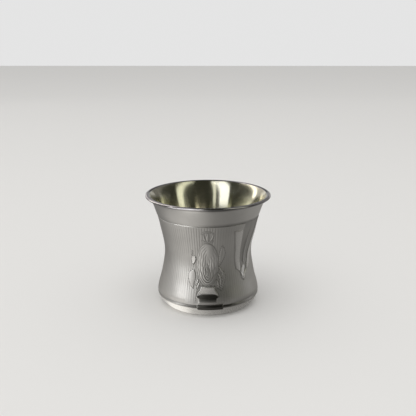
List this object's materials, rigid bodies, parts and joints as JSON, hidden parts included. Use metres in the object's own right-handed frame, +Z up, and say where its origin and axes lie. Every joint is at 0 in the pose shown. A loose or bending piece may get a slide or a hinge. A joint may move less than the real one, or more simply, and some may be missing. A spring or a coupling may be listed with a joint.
{
  "type": "ritual water cup",
  "caption": "Small open metal water cup with a waisted wall, flared mouth with a rolled rim, rounded foot, border grooves and low relief ornament.",
  "frame": {"origin": "centre of the flat underside, on the surface the cup stands on", "axes": "+Z up along the axis the vessel is turned about; -Y faces the main ornament"},
  "size_m": [0.066, 0.066, 0.0599],
  "materials": {
    "silver": "satin silver with a finely lined field, polished rim, foot band and ornament, and a warmer bright inside"
  },
  "bodies": {
    "root": {"cup": "silver"}
  },
  "joints": []
}
